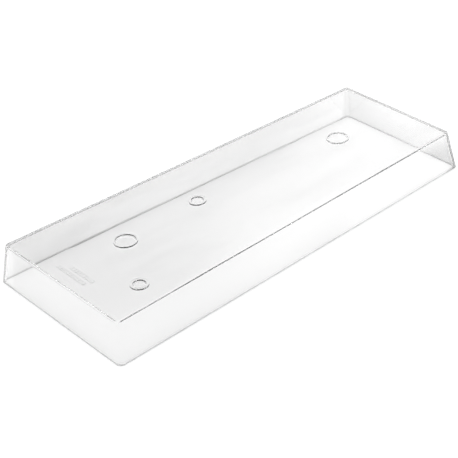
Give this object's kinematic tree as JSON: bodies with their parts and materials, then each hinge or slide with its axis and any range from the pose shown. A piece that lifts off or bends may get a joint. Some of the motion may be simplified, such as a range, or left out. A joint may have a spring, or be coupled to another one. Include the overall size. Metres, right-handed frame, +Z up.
{
  "type": "clear plastic cover",
  "caption": "Clear moulded hood, open underneath, tapering in plan, with drafted walls, rounded edges and round clear plugs that lift out of its flat top plate.",
  "frame": {"origin": "centre of the rim's plane, the face that the cover stands on", "axes": "+X along the length, from the wide end to the narrow end; +Y to the back; +Z up, from the open rim to the top plate"},
  "size_m": [0.1718, 0.0728, 0.0165],
  "materials": {
    "clear_shell": "clear, polished",
    "clear_plug": "clear, polished"
  },
  "bodies": {
    "cover": {"cover_shell": "clear_shell"},
    "wide_plug_left": {"wide_plug_left": "clear_plug"},
    "wide_plug_right": {"wide_plug_right": "clear_plug"},
    "small_plug_front": {"small_plug_front": "clear_plug"},
    "small_plug_rear": {"small_plug_rear": "clear_plug"}
  },
  "joints": [
    {"name": "wide_plug_left_lift", "type": "slide", "parent": "cover", "child": "wide_plug_left", "axis": [0, 0, 1], "range_m": [0, 0.008]},
    {"name": "wide_plug_right_lift", "type": "slide", "parent": "cover", "child": "wide_plug_right", "axis": [0, 0, 1], "range_m": [0, 0.008]},
    {"name": "small_plug_front_lift", "type": "slide", "parent": "cover", "child": "small_plug_front", "axis": [0, 0, 1], "range_m": [0, 0.008]},
    {"name": "small_plug_rear_lift", "type": "slide", "parent": "cover", "child": "small_plug_rear", "axis": [0, 0, 1], "range_m": [0, 0.008]}
  ]
}
